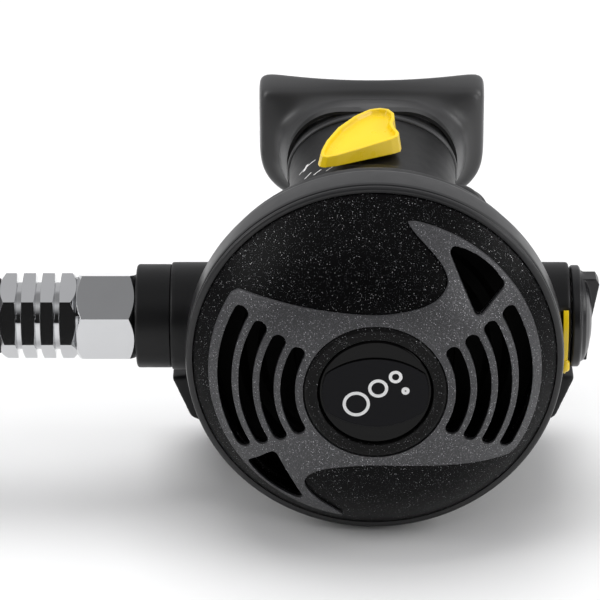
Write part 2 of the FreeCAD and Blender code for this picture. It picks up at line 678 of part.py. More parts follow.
def make_clip():
    """The yellow clip that snaps into the groove of the right-hand boss."""
    outer = size("boss_radius") + size("clip_thick")
    start = size("boss_right") - size("clip_inset") - size("clip_width")
    angle = math.radians(size("bump_turn"))
    reach = outer + size("clip_room")
    bump = Part.makeSphere(size("clip_bump"), Vector(start + size("bump_inset"),
                                                     reach * math.cos(angle), reach * math.sin(angle)))
    end = size("boss_right") - size("clip_room")
    bump = bump.common(block((start, -30, -30), (end, 30, 30)))
    bump = bump.cut(rod(Vector(start - 5, 0, 0), Vector(end + 5, 0, 0),
                        size("boss_radius") + size("clip_room")))
    feature("knob_clip", solid_of(clip_band(0, 0).fuse(bump)))


# ---------------------------------------------------------------- inlet fittings and hose end

def make_inlet():
    turned("inlet_collar", "X", [
        ("-boss_left - collar_length", "barrel_radius + barrel_gap"),
        ("-boss_left - collar_length", "collar_radius - 0.4"),
        ("-boss_left - collar_length + 0.4", "collar_radius"), ("-boss_left", "collar_radius"),
        ("-boss_left", "barrel_radius + barrel_gap")])
    face = "-boss_left - collar_length"
    corner = "nut_flats / sqrt(3)"
    hexagonal("swivel_nut", corner, "nut_turn", face, "nut_length", [
        (face + " - nut_length", "stem_radius + 1.2"), (face + " - nut_length", "nut_flats / 2 - 0.2"),
        (face + " - nut_length + 1.4", "nut_flats / 2 + 1.6"),
        (face + " - 1.6", "nut_flats / 2 + 1.6"), (face + " - 0.1", "nut_flats / 2 - 0.3"),
        (face + " - 0.1", "nipple_radius + 0.1"), (face + " - nipple_length - 2.9", "nipple_radius + 0.1"),
        (face + " - nipple_length - 2.9", "stem_radius + 1.2")])
    turned("hose_stem", "X", [
        (face + " - nut_length - 1.5", "stem_radius - 1.6"),
        (face + " - nut_length - 1.5", "stem_radius + 1.1"),
        (face + " - nipple_length - 2.7", "stem_radius + 1.1"),
        (face + " - nipple_length - 2.7", "nipple_radius"),
        (face + " - nipple_length - 0.1", "nipple_radius"),
        (face + " - nipple_length - 0.1", "nipple_bore - 0.1"), (face + " - 1", "nipple_bore - 0.1"),
        (face + " - 1", "stem_radius - 1.6")])
    make_ferrule("hose_ferrule", "boss_left + collar_length + nut_length + fitting_gap")
    protector = "-boss_left - collar_length - nut_length - fitting_gap * 2 - ferrule_length"
    turned("hose_protector", "X", [
        (protector + " - protector_length", "hose_radius + 0.05"),
        (protector + " - protector_length", "protector_tip - 0.3"),
        (protector + " - protector_length + 1", "protector_tip"),
        (protector + " - 6", "protector_radius"), (protector + " - 0.6", "protector_radius"),
        (protector, "protector_radius - 0.6"), (protector, "hose_radius + 0.05")])


def make_ferrule(label, start):
    """A hexagon-crimped ferrule whose grooves leave four bands; it runs to -X from its start."""
    corner = "ferrule_corners / 2"
    edge = "-(" + start + ")"
    profile = [(edge + " - ferrule_length", "stem_radius + 1.3"),
               (edge + " - ferrule_length", "ferrule_corners / 2 - 1.3"),
               (edge + " - ferrule_length + 1.1", "ferrule_corners / 2")]
    for band in (3, 2, 1):
        middle = f"{edge} - ferrule_length * {band} / 4"
        for side, depth in (("- groove_width / 2 - 0.3", "0"), ("- groove_width / 2", "groove_depth"),
                            ("+ groove_width / 2", "groove_depth"), ("+ groove_width / 2 + 0.3", "0")):
            radius = "ferrule_corners / 2" if depth == "0" else "ferrule_corners * 0.433 - groove_depth"
            profile.append((f"{middle} {side}", radius))
    profile += [(edge + " - 1.1", "ferrule_corners / 2"), (edge, "ferrule_corners / 2 - 1.3"),
                (edge, "stem_radius + 1.3")]
    hexagonal(label, corner, "ferrule_turn", edge, "ferrule_length", profile)


# Where the hose runs before its coil: chosen points, in the row's frame, from the ferrule outwards.
HOSE_ROUTE = [(-85.6, 0.0, 43.5), (-116.0, 0.0, 43.5), (-146.0, -0.5, 38.5), (-176.0, -1.5, 26.5),
              (-209.0, -1.0, 14.5)]


def coil_spot(fraction):
    """A point of the coil's centre line; fraction 0 is its inner start and 1 its outer end."""
    turned_by = 360.0 * size("coil_turns") * fraction
    angle = math.radians(size("coil_start_angle") - turned_by)
    radius = size("coil_inner") + size("coil_pitch") * turned_by / 360.0
    return Vector(size("coil_centre_x") + radius * math.cos(angle),
                  size("coil_centre_y") + radius * math.sin(angle), size("hose_radius"))


def corner_radius(before, corner, after):
    back = before - corner
    ahead = after - corner
    half_turn = (math.pi - back.getAngle(ahead)) / 2
    return 0.45 * min(back.Length, ahead.Length) / math.tan(half_turn)


def rounded_path(spots):
    """Straight runs joined by tangent arcs, each as large as its two runs allow."""
    edges = []
    last = spots[0]
    for before, corner, after in zip(spots, spots[1:], spots[2:]):
        back = before - corner
        ahead = after - corner
        radius = corner_radius(before, corner, after)
        half_turn = (math.pi - back.getAngle(ahead)) / 2
        reach = radius * math.tan(half_turn)
        back.normalize()
        ahead.normalize()
        enter = corner + back * reach
        leave = corner + ahead * reach
        towards = back + ahead
        towards.normalize()
        centre = corner + towards * (radius / math.cos(half_turn))
        middle = centre - towards * radius
        edges.append(Part.LineSegment(last, enter).toShape())
        edges.append(Part.Arc(enter, middle, leave).toShape())
        last = leave
        print("hose arc radius", round(radius, 1), "run", round((corner - before).Length, 1))
    edges.append(Part.LineSegment(last, spots[-1]).toShape())
    return Part.Wire(edges)


def make_hose():
    lift = Vector(0, 0, size("axis_height"))
    spots = [Vector(*spot) - lift for spot in HOSE_ROUTE]
    spots += [coil_spot(fraction) - lift for fraction in (0.04, 0.11)]
    path = rounded_path(spots)
    section = Part.Wire(Part.makeCircle(size("hose_radius"), spots[0], Vector(-1, 0, 0)))
    tube = solid_of(path.makePipeShell([section], True, False))
    expected = math.pi * size("hose_radius") ** 2 * path.Length
    print("hose tube length", round(path.Length, 1), "volume ratio", round(tube.Volume / expected, 4))
    feature("hose_tube", tube)

    radius = size("hose_radius")
    centre = Vector(size("coil_centre_x"), size("coil_centre_y"), 0)
    inner = size("coil_inner") - radius
    outer = size("coil_inner") + size("coil_pitch") * size("coil_turns") + radius
    floor = -size("axis_height")
    low = centre + Vector(0, 0, floor)
    high = centre + Vector(0, 0, floor + 2 * radius)
    ring = rod(low, high, outer).cut(rod(low - Vector(0, 0, 1), high + Vector(0, 0, 1), inner))
    end, heading = hose_end()
    room = rod(end, end + heading * 120, size("ferrule_corners") / 2 + 0.2)
    feature("hose_coil", solid_of(ring.cut(room)))


def hose_end():
    """Where the ferrule of the far end starts, about the valve axis, and the way it points."""
    last = coil_spot(1.0)
    before = coil_spot(0.99)
    heading = last - before
    heading.z = 0
    heading.normalize()
    last.z = size("end_ferrule_height") - size("axis_height")
    return last, heading


def send_to_hose_end(item, label):
    """Lays a piece that was drawn along -X onto the hose's far end."""
    end, heading = hose_end()
    turn = FreeCAD.Rotation(Vector(-1, 0, 0), heading)
    item.Placement = FreeCAD.Placement(end + Vector(0, 0, size("axis_height")), turn)
    item.setExpression("Placement.Base.z", bound("end_ferrule_height"))
    item.Label = label
    pieces[label] = item


def make_far_end():
    make_ferrule("end_ferrule", "0")
    send_to_hose_end(pieces["end_ferrule"], "end_ferrule")
    start = "-ferrule_length - 0.1"
    corner = "end_hex_flats / sqrt(3)"
    tip = start + " - end_hex_length"
    hexagonal("end_fitting_hex", corner, "ferrule_turn", start, "end_hex_length", [
        (tip, "2.5"), (tip, "end_hex_flats / 2"), (tip + " + 0.8", corner),
        (start + " - 0.8", corner), (start, "end_hex_flats / 2"), (start, "2.5")])
    thread = turned_body("end_fitting_thread", "X", [
        (tip + " - end_thread_length", "2.5"), (tip + " - end_thread_length", "end_thread - 0.6"),
        (tip + " - end_thread_length + 0.6", "end_thread"), (tip + " - oring_section * 1.4", "end_thread"),
        (tip + " - oring_section * 1.4", "end_thread - 0.7"), (tip + " + 1", "end_thread - 0.7"),
        (tip + " + 1", "2.5")])
    joined = document.addObject("Part::Fuse", "end_fitting")
    joined.Base = pieces.pop("end_fitting_hex")
    joined.Base.setExpression("Placement.Base.z", None)
    joined.Base.Placement = FreeCAD.Placement()
    joined.Tool = thread
    send_to_hose_end(joined, "end_fitting")
    ring_seal("end_oring", "-ferrule_length - 0.1 - end_hex_length - oring_section * 0.62",
              "end_thread - 0.1 + oring_section / 2 - 0.55", "oring_section / 2")
    seal = pieces["end_oring"]
    seal.setExpression("Placement.Base.z", None)
    seal.setExpression("Placement.Base.x", None)
    end, heading = hose_end()
    along = size("ferrule_length") + 0.1 + size("end_hex_length") + size("oring_section") * 0.62
    turn = FreeCAD.Rotation(Vector(0, 0, 1), heading)
    seal.Placement = FreeCAD.Placement(end + heading * along + Vector(0, 0, size("axis_height")), turn)


# ---------------------------------------------------------------- mouthpiece

def make_mouthpiece():
    neck_width = size("tube_width") - 2 * size("spigot_wall") + 2 * size("rubber_wall")
    neck_tall = size("tube_tall") - 2 * size("spigot_wall") + 2 * size("rubber_wall")
    start = size("tube_end") + 0.1
    flange = size("flange_start")
    wide, tall = size("flange_width"), size("flange_tall")
    corner = neck_tall / 2 - 1.0
    outside = loft([soft_rectangle(neck_width, neck_tall, corner, start),
                    soft_rectangle(neck_width, neck_tall, corner - 0.5, start + 7),
                    soft_rectangle(neck_width + 5, neck_tall + 1.5, corner - 1.5, start + 11),
                    soft_rectangle(wide - 1, tall - 0.5, 9.5, flange - 0.5)])
    plate = loft([soft_rectangle(wide, tall, 9.0, flange - 1.0),
                  soft_rectangle(wide, tall, 9.0, flange + 12)], ruled=True)
    curve = size("flange_curve")
    axis_spot = Vector(0, size("flange_centre") + curve, -60)
    mouth_side = Part.makeCylinder(curve, 150, axis_spot, Vector(0, 0, 1))
    shape = outside.fuse(plate.cut(mouth_side))
    middle = size("tube_height")
    half = size("lug_thick") / 2
    for side in (-1, 1):
        centre = side * size("lug_centre")
        lug = block((centre - half, flange + 1.0, middle - size("lug_tall") / 2),
                    (centre + half, flange + 4 + size("lug_reach"), middle + size("lug_tall") / 2))
        lug = lug.makeFillet(2.2, [edge for edge in lug.Edges
                                   if abs(edge.tangentAt(edge.FirstParameter).y) > 0.99])
        shape = shape.fuse(lug)
    gap = 0.1
    socket_width = size("tube_width") - 2 * size("spigot_wall") + 2 * gap
    socket_tall = size("tube_tall") - 2 * size("spigot_wall") + 2 * gap
    socket = loft([oval(socket_width, socket_tall, start - 1),
                   oval(socket_width, socket_tall, size("tube_end") + size("spigot_length") + gap)],
                  ruled=True)
    airway = loft([oval(size("mouth_bore_width"), size("mouth_bore_tall"), start),
                   oval(size("mouth_bore_width"), size("mouth_bore_tall"), flange + 26)], ruled=True)
    groove = neck_band(2 + size("rubber_wall"), start + 2.4, start + 5.4).cut(
        neck_band(0.0, start + 2.3, start + 5.5))
    shape = shape.cut([socket, airway, groove])
    feature("mouthpiece", solid_of(shape))
    tie = neck_band(0.8, start + 2.5, start + 5.3).cut(neck_band(0.05, start + 2.4, start + 5.4))
    feature("mouthpiece_tie", solid_of(tie))


def neck_band(grow, near, far):
    """A straight plug as wide as the tie's groove floor round the rubber neck, grown by a distance."""
    depth = 0.8
    wall = size("rubber_wall") - size("spigot_wall") - depth
    width = size("tube_width") + 2 * (wall + grow)
    tall = size("tube_tall") + 2 * (wall + grow)
    corner = tall / 2 - 1.3
    return loft([soft_rectangle(width, tall, corner, near), soft_rectangle(width, tall, corner, far)],
                ruled=True)


# ---------------------------------------------------------------- venturi lever and vane

def make_venturi():
    base = size("venturi_base")
    rise = size("venturi_rise")
    outline = [(-13.9, 17.4), (-12.2, 14.8), (-9.0, 15.0), (5.6, 23.6), (6.6, 25.4), (5.0, 29.0),
               (4.6, 32.0), (3.0, 36.6), (0.6, 38.2), (-3.6, 36.0), (-9.6, 27.0)]
    spots = [Vector(x, y, base) for x, y in outline]
    face = Part.Face(Part.makePolygon(spots + spots[:1]))
    shape = face.extrude(Vector(0, 0, rise))
    pivot = Vector(size("pivot_x"), size("pivot_y"), 0)
    vane_top = size("tube_height") + 7.6
    stem = rod(pivot + Vector(0, 0, vane_top - 1), pivot + Vector(0, 0, base + 1), size("venturi_stem"))
    hub = rod(pivot + Vector(0, 0, base - 0.45), pivot + Vector(0, 0, base + 1), 5.0)
    feature("venturi_lever", solid_of(shape.fuse([hub, stem]).removeSplitter()))
    vane = block((-6.5, -0.8, size("tube_height") - 6), (6.5, 0.8, vane_top - 1.05))
    vane.rotate(Vector(0, 0, 0), Vector(0, 0, 1), 40)
    vane.translate(pivot)
    feature("venturi_vane", vane)


# ---------------------------------------------------------------- exhaust

def tee_edges(inset, reach):
    """The moustache outline; inset thins it for the duct and reach opens its ends."""
    foot = -size("axis_height") + inset
    top = [(-47.2 - reach, -18.3), (-38, -16.5), (-28, -12.5), (-14, -4.5), (0, -2.6),
           (14, -4.5), (28, -12.5), (38, -16.5), (47.2 + reach, -18.3)]
    top = [flat(x, z - inset) for x, z in top]
    foot_half = size("foot_half") - inset / 2
    side = [(42.8 + reach, -28.8), (35.5, -33.0), (28.5, -38.4), (foot_half, foot)]
    right = [flat(x, z + (inset if z > foot else 0)) for x, z in side]
    left = [flat(-spot.x, spot.z) for spot in reversed(right)]
    return [smooth(top), straight(top[-1], right[0]), smooth(right), straight(right[-1], left[0]),
            smooth(left), straight(left[-1], top[0])]


def make_exhaust():
    back = size("bowl_back")
    drop = -size("exhaust_drop")
    sheet_thick = size("exhaust_sheet")
    disc = rod(Vector(0, back + 0.02, drop), Vector(0, back + sheet_thick, drop), size("exhaust_disc"))
    stem = rod(Vector(0, back - 3.4, drop), Vector(0, back + 0.5, drop), 1.1)
    bulb = rod(Vector(0, back - 3.4, drop), Vector(0, back - 2.1, drop), 1.9)
    feature("exhaust_valve", solid_of(disc.fuse([stem, bulb])))

    gap = size("tee_gap")
    front, depth, wall = size("tee_front"), size("tee_depth"), size("tee_wall")
    body = flat_prism(tee_edges(0, 0), front, depth)
    tongue = flat_prism(tee_edges(0, 0), -size("foot_front"), front + 1)
    tongue = tongue.common(block((-30, -20, -60), (30, 20, -30)))
    duct = flat_prism(tee_edges(wall, 8), back + gap, depth - wall)
    wing_duct = flat_prism(tee_edges(wall, 8), front + wall, back + 1)
    wing_duct = wing_duct.cut(block((-20, -20, -60), (20, 40, 20))).cut(bowl(gap + wall))
    box_room = rod(Vector(0, -30, drop), Vector(0, back + gap, drop), size("exhaust_box") + gap)
    tube_room = loft([oval(size("tube_width") + 4, size("tube_tall") + 2 * gap, 0),
                      oval(size("tube_width") + 4, size("tube_tall") + 2 * gap, 60)], ruled=True)
    boss_room = rod(Vector(-60, 0, 0), Vector(60, 0, 0), size("boss_radius") + gap)
    shape = body.fuse(tongue).cut([bowl(gap), box_room, tube_room, boss_room, duct, wing_duct])
    solids = sorted(shape.Solids, key=lambda solid: solid.Volume)
    feature("exhaust_tee", solids[-1])


# ---------------------------------------------------------------- build, check and export

make_case()
make_ring()
make_cover()
make_accent()
make_button_group()
make_diaphragm()
make_demand_lever()
make_valve()
make_knob()
make_clip()
make_inlet()
make_hose()
make_far_end()
make_mouthpiece()
make_venturi()
make_exhaust()
document.recompute()

for item in document.Objects:
    if "Invalid" in item.State or "Error" in item.State:
        raise RuntimeError(f"{item.Label} did not compute: {item.State}")
for label, item in pieces.items():
    if item.Shape.isNull() or not item.Shape.isValid() or len(item.Shape.Solids) != 1:
        raise RuntimeError(f"{label} is not one valid solid: {len(item.Shape.Solids)}")

os.makedirs("parts", exist_ok=True)
for label, item in pieces.items():
    item.Shape.exportStep(os.path.join("parts", label + ".step"))
print(len(pieces), "sub-parts written")
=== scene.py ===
import json
import math

import bpy
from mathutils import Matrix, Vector

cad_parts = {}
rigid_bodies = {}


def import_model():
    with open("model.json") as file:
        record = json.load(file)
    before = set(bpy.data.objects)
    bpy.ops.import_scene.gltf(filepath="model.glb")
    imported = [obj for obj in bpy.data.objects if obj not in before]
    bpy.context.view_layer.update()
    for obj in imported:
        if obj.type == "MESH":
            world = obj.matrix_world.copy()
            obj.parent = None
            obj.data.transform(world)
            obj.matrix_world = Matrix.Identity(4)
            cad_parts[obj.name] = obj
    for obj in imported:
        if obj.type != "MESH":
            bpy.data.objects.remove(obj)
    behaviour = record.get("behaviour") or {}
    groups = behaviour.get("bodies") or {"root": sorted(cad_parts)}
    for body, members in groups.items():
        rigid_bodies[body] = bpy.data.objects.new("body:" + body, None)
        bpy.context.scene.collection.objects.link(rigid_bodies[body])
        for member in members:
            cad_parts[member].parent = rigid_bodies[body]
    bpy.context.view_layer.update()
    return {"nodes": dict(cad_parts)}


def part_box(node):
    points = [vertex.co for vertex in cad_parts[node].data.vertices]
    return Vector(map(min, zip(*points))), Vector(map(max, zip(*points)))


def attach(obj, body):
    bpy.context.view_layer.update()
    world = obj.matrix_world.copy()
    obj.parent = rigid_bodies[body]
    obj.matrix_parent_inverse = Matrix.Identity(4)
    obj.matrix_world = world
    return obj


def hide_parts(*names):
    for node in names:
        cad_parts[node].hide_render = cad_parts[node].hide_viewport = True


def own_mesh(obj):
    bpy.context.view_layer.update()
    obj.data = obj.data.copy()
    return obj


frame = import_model()
bpy.ops.object.select_all(action="DESELECT")

MM = 0.001


def middle(node):
    low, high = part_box(node)
    return (low + high) / 2


AXIS = middle("valve_barrel").z
RING_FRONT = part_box("retaining_ring")[0].y
RING_RADIUS = (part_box("retaining_ring")[1].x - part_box("retaining_ring")[0].x) / 2
TUBE_Z = middle("mouthpiece").z


# ---------------------------------------------------------------- finishes

class Wire:
    """A shader socket that can be used in Python arithmetic."""

    def __init__(self, finish, socket):
        self.finish = finish
        self.socket = socket

    def maths(self, operation, other=None, swap=False):
        values = [self] if other is None else [self, other]
        if swap:
            values.reverse()
        return self.finish.add("ShaderNodeMath", {"operation": operation}, dict(enumerate(values)))[0]

    def __add__(self, other):
        return self.maths("ADD", other)

    def __sub__(self, other):
        return self.maths("SUBTRACT", other)

    def __rsub__(self, other):
        return self.maths("SUBTRACT", other, swap=True)

    def __mul__(self, other):
        return self.maths("MULTIPLY", other)

    def __truediv__(self, other):
        return self.maths("DIVIDE", other)

    def above(self, limit):
        return self.maths("GREATER_THAN", limit)

    def below(self, limit):
        return self.maths("LESS_THAN", limit)

    __radd__ = __add__
    __rmul__ = __mul__


class Shading:
    """A node tree whose nodes are added by add()."""

    def __init__(self, tree, shader, coordinate):
        self.nodes = tree.nodes
        self.links = tree.links
        self.shader = self.nodes[shader]
        self.place = self.add("ShaderNodeTexCoord", {}, {}, coordinate)[0]

    def add(self, kind, settings, inputs, *outputs):
        node = self.nodes.new(kind)
        for name, value in settings.items():
            setattr(node, name, value)
        for socket, value in inputs.items():
            if isinstance(value, Wire):
                self.links.new(value.socket, node.inputs[socket])
            else:
                node.inputs[socket].default_value = value
        return [Wire(self, node.outputs[name]) for name in outputs or (0,)]

    def wire(self, socket, value):
        self.links.new(value.socket, self.shader.inputs[socket])

    def mix(self, factor, first, second):
        inputs = {"Factor": factor, 6: (*first, 1) if isinstance(first, tuple) else first,
                  7: (*second, 1) if isinstance(second, tuple) else second}
        return self.add("ShaderNodeMix", {"data_type": "RGBA"}, inputs, 2)[0]


class Finish(Shading):
    """One material; its constants sit on the shader's own sockets."""

    def __init__(self, name, **constants):
        self.material = bpy.data.materials.new(name)
        self.material.use_nodes = True
        super().__init__(self.material.node_tree, "Principled BSDF", "Object")
        for socket, value in constants.items():
            self.shader.inputs[socket.replace("_", " ").title().replace("Ior", "IOR")].default_value = value

    def noise(self, scale, detail=3.0, rough=0.5):
        inputs = {"Vector": self.place, "Scale": scale, "Detail": detail, "Roughness": rough}
        return self.add("ShaderNodeTexNoise", {}, inputs, "Fac")[0]

    def cells(self, scale):
        """Distance to the nearest speck and a random number for it."""
        inputs = {"Vector": self.place, "Scale": scale}
        distance, colour = self.add("ShaderNodeTexVoronoi", {}, inputs, "Distance", "Color")
        chance = self.add("ShaderNodeSeparateColor", {}, {"Color": colour}, "Red", "Green")
        return distance, chance[0], chance[1]

    def bump(self, height, strength, distance):
        normal = self.add("ShaderNodeBump", {}, {"Height": height, "Strength": strength,
                                                 "Distance": distance}, "Normal")[0]
        self.wire("Normal", normal)


def flaked(name, ground, flake, share, scale, roughness, metallic, coat, level=0.35):
    """Moulded plastic with metallic flake: fine silver specks on a finely bumped face, each speck painted
    brighter or dimmer at random as painted glint.
    """
    made = Finish(name, coat_weight=coat, coat_roughness=0.1, specular_ior_level=level)
    # strength is a random number for each speck, used as its painted glint brightness; the speck's colour is
    # the silver flake.
    distance, chance, strength = made.cells(scale)
    speck = distance.below(0.27) * chance.above(1 - share) * (strength * 0.85 + 0.15)
    fine_distance, fine_chance, fine_painted_glint = made.cells(scale * 1.9)
    fine = fine_distance.below(0.3) * fine_chance.above(1 - 2 * share) * fine_painted_glint
    flakes_and_painted_glint = speck + fine * 0.4
    dark, light = tuple(c * 0.8 for c in ground), tuple(c * 1.2 for c in ground)
    made.wire("Base Color", made.mix(flakes_and_painted_glint, made.mix(made.noise(90, 2), dark, light), flake))
    made.wire("Metallic", flakes_and_painted_glint * 0.6 + metallic)
    made.wire("Roughness", made.noise(900, 2) * 0.12 + roughness)
    made.bump(made.noise(2400, 2), 0.3, 0.015 * MM)
    return made.material


def moulded(name, colour, roughness, grain=1800, depth=0.03, **constants):
    """Injection-moulded plastic or rubber with a spark-eroded grain."""
    made = Finish(name, **constants)
    low = tuple(c * 0.82 for c in colour)
    high = tuple(c * 1.18 for c in colour)
    made.wire("Base Color", made.mix(made.noise(60, 3), low, high))
    made.wire("Roughness", made.noise(260, 4) * 0.16 + (roughness - 0.08))
    made.bump(made.noise(grain, 3, 0.6), 0.5, depth * MM)
    return made.material


def plated(name, colour, roughness, streak=0.04):
    """Polished or turned metal, slightly clouded by handling."""
    made = Finish(name, metallic=1.0)
    cloud = made.noise(140, 4)
    made.wire("Base Color", made.mix(cloud, tuple(c * 0.93 for c in colour), colour))
    made.wire("Roughness", cloud * streak + made.noise(3500, 2) * 0.03 + roughness)
    made.bump(made.noise(120, 2), 0.08, 0.02 * MM)
    return made.material


def polished(name, colour):
    """Black acrylic-like plastic under a clear gloss."""
    made = Finish(name, coat_weight=0.06, coat_roughness=0.02, specular_ior_level=0.12)
    made.wire("Base Color", made.mix(made.noise(40, 2), tuple(c * 0.8 for c in colour), colour))
    made.wire("Roughness", made.noise(200, 4) * 0.05 + 0.07)
    return made.material


FLAKE = (0.75, 0.75, 0.78)
COVER_BLACK = flaked("cover_black_flake", (0.002, 0.002, 0.0022), FLAKE, 0.08, 3600, 0.3, 0.0, 0.0, 0.06)
PANEL_GREY = flaked("panel_grey_flake", (0.048, 0.048, 0.051), FLAKE, 0.3, 3600, 0.34, 0.3, 0.0)
BEZEL_BLACK = flaked("bezel_black_flake", (0.004, 0.004, 0.004), FLAKE, 0.05, 3600, 0.28, 0.0, 0.0, 0.1)
RING_SATIN = moulded("ring_satin", (0.016, 0.016, 0.017), 0.34, 1500, 0.02, specular_ior_level=0.4)
CASE_NYLON = moulded("case_nylon", (0.006, 0.006, 0.0065), 0.42, 1300, 0.03, specular_ior_level=0.25)
TEE_RUBBER = moulded("tee_rubber", (0.007, 0.007, 0.008), 0.5, 900, 0.03, specular_ior_level=0.3)
SILICONE = moulded("mouth_silicone", (0.03, 0.03, 0.031), 0.38, 700, 0.012, specular_ior_level=0.6,
                   sheen_weight=0.1, sheen_roughness=0.4)
KNOB_BLACK = moulded("knob_black", (0.008, 0.008, 0.009), 0.33, 1700, 0.02, specular_ior_level=0.4)
YELLOW = moulded("lever_yellow", (0.9, 0.63, 0.005), 0.3, 1200, 0.01,
                 coat_weight=0.2, coat_roughness=0.15)
CHROME = plated("mirror_chrome", (0.6, 0.605, 0.615), 0.0, 0.02)
STEEL = plated("spring_steel", (0.62, 0.62, 0.63), 0.22)
BRASS = plated("turned_brass", (0.78, 0.6, 0.3), 0.2)
GLOSS_BLACK = polished("button_black", (0.003, 0.003, 0.003))
BADGE_GREY = plated("badge_metal", (0.012, 0.012, 0.013), 0.3)
MARK_WHITE = moulded("printed_white", (0.78, 0.78, 0.78), 0.5, 2000, 0.005)
HOSE_RUBBER = moulded("hose_rubber", (0.012, 0.012, 0.013), 0.5, 1000, 0.05)
GUARD_RUBBER = moulded("guard_rubber", (0.012, 0.012, 0.013), 0.58, 900, 0.04)
DIAPHRAGM_BLACK = moulded("diaphragm_silicone", (0.002, 0.002, 0.002), 0.6, 500, 0.01,
                          specular_ior_level=0.05)
CLEAR_SILICONE = moulded("valve_silicone", (0.42, 0.43, 0.45), 0.45, 500, 0.01)
SEAL_BLACK = moulded("seal_black", (0.012, 0.012, 0.012), 0.4, 1200, 0.01)
ACETAL = moulded("acetal_white", (0.7, 0.7, 0.67), 0.42, 900, 0.01)


# ---------------------------------------------------------------- workbench helpers

def pick(*chosen):
    """Selects only these objects and makes the last one active."""
    if bpy.context.object and bpy.context.object.mode == "EDIT":
        bpy.ops.object.mode_set(mode="OBJECT")
    bpy.ops.object.select_all(action="DESELECT")
    for item in chosen:
        item.select_set(True)
    bpy.context.view_layer.objects.active = chosen[-1]


def edit(piece):
    pick(piece)
    bpy.ops.object.mode_set(mode="EDIT")
    bpy.ops.mesh.select_all(action="SELECT")


def done():
    bpy.ops.object.mode_set(mode="OBJECT")


def settle(piece):
    """Leaves the piece's place in its mesh and its object at the origin."""
    pick(piece)
    bpy.ops.object.transform_apply(location=True, rotation=True, scale=True)


def modify(piece, kind, **settings):
    pick(piece)
    modifier = piece.modifiers.new(kind.title(), kind)
    for name, value in settings.items():
        setattr(modifier, name, value)
    bpy.ops.object.modifier_apply(modifier=modifier.name)


def clean(piece, gap=0.002):
    """Merges doubles and turns every face outwards."""
    edit(piece)
    bpy.ops.mesh.remove_doubles(threshold=gap * MM)
    bpy.ops.mesh.normals_make_consistent(inside=False)
    done()


def finish_piece(piece, body, material, smooth=40, flats=False):
    pick(piece)
    bpy.ops.object.shade_smooth_by_angle(angle=math.radians(smooth))
    if flats:
        modify(piece, "WEIGHTED_NORMAL", weight=100, keep_sharp=True)
    piece.data.materials.clear()
    piece.data.materials.append(material)
    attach(piece, body)
    return piece


def merged_copy(node, name):
    """A copy of a designed part with its loose triangles merged into one skin."""
    pick(frame["nodes"][node])
    bpy.ops.object.duplicate()
    piece = bpy.context.object
    for key in list(piece.keys()):
        del piece[key]
    pick(piece)
    bpy.ops.object.parent_clear(type="CLEAR_KEEP_TRANSFORM")
    piece.name = name
    bpy.ops.mesh.customdata_custom_splitnormals_clear()
    clean(piece, 0.001)
    return piece


def softened(node, name, voxel, passes):
    """A copy whose edges are worn into small radii, as a moulding's are."""
    piece = merged_copy(node, name)
    melt(piece, voxel, passes)
    return piece


def melt(piece, voxel, passes):
    pick(piece)
    piece.data.remesh_voxel_size = voxel * MM
    piece.data.remesh_voxel_adaptivity = 0.0
    bpy.ops.object.voxel_remesh()
    modify(piece, "SMOOTH", factor=0.5, iterations=passes)


def machined(node, name, width, segments=3):
    """A copy with every hard edge broken by a small bevel, as on a turned or milled part."""
    piece = merged_copy(node, name)
    edit(piece)
    bpy.ops.mesh.dissolve_limited(angle_limit=math.radians(0.6))
    done()
    modify(piece, "BEVEL", width=width * MM, segments=segments, limit_method="ANGLE",
           angle_limit=math.radians(32), use_clamp_overlap=True)
    return piece


def drawn_line(name, spots):
    """A line of vertices, drawn by extruding one vertex from spot to spot."""
    bpy.ops.object.select_all(action="DESELECT")
    bpy.ops.mesh.primitive_plane_add(size=MM, location=spots[0])
    piece = bpy.context.object
    piece.name = name
    settle(piece)
    edit(piece)
    bpy.ops.mesh.merge(type="CENTER")
    for before, after in zip(spots, spots[1:]):
        bpy.ops.mesh.extrude_region_move(TRANSFORM_OT_translate={"value": Vector(after) - Vector(before)})
    done()
    return piece


def turned(name, profile, along, centre, steps=96):
    """A turned solid; the profile lists (distance along the axis, radius) in millimetres."""
    axes = {"X": (Vector((1, 0, 0)), Vector((0, 0, 1))), "Y": (Vector((0, 1, 0)), Vector((0, 0, 1)))}
    axis, out = axes[along]
    spots = [centre + axis * far * MM + out * radius * MM for far, radius in profile]
    piece = drawn_line(name, spots)
    edit(piece)
    bpy.ops.mesh.spin(steps=steps, angle=2 * math.pi, center=centre, axis=axis)
    done()
    clean(piece)
    return piece


def box_piece(name, low, high):
    bpy.ops.object.select_all(action="DESELECT")
    low, high = Vector(low) * MM, Vector(high) * MM
    bpy.ops.mesh.primitive_cube_add(size=1, location=(low + high) / 2)
    piece = bpy.context.object
    piece.name = name
    piece.scale = high - low
    settle(piece)
    return piece


def join(*parts):
    pick(*reversed(parts))
    bpy.ops.object.join()
    return parts[0]


# ---------------------------------------------------------------- camera, floor and light

CAMERA_TILT = math.radians(24.8)
CAMERA_DISTANCE = 0.8
CAMERA_LENS = 208.7
CAMERA_SHIFT = -0.065


def make_camera():
    tilt = CAMERA_TILT
    back = Vector((0, -math.cos(tilt), math.sin(tilt)))
    up = Vector((0, math.sin(tilt), math.cos(tilt)))
    aim = Vector((-8 * MM, 0, AXIS)) + up * 3.6 * MM
    bpy.ops.object.camera_add(location=aim + back * CAMERA_DISTANCE, rotation=(math.pi / 2 - tilt, 0, 0))
    camera = bpy.context.object
    camera.data.sensor_width = 36
    camera.data.lens = CAMERA_LENS
    camera.data.shift_x = CAMERA_SHIFT
    camera.data.clip_start = 0.01
    bpy.context.scene.camera = camera


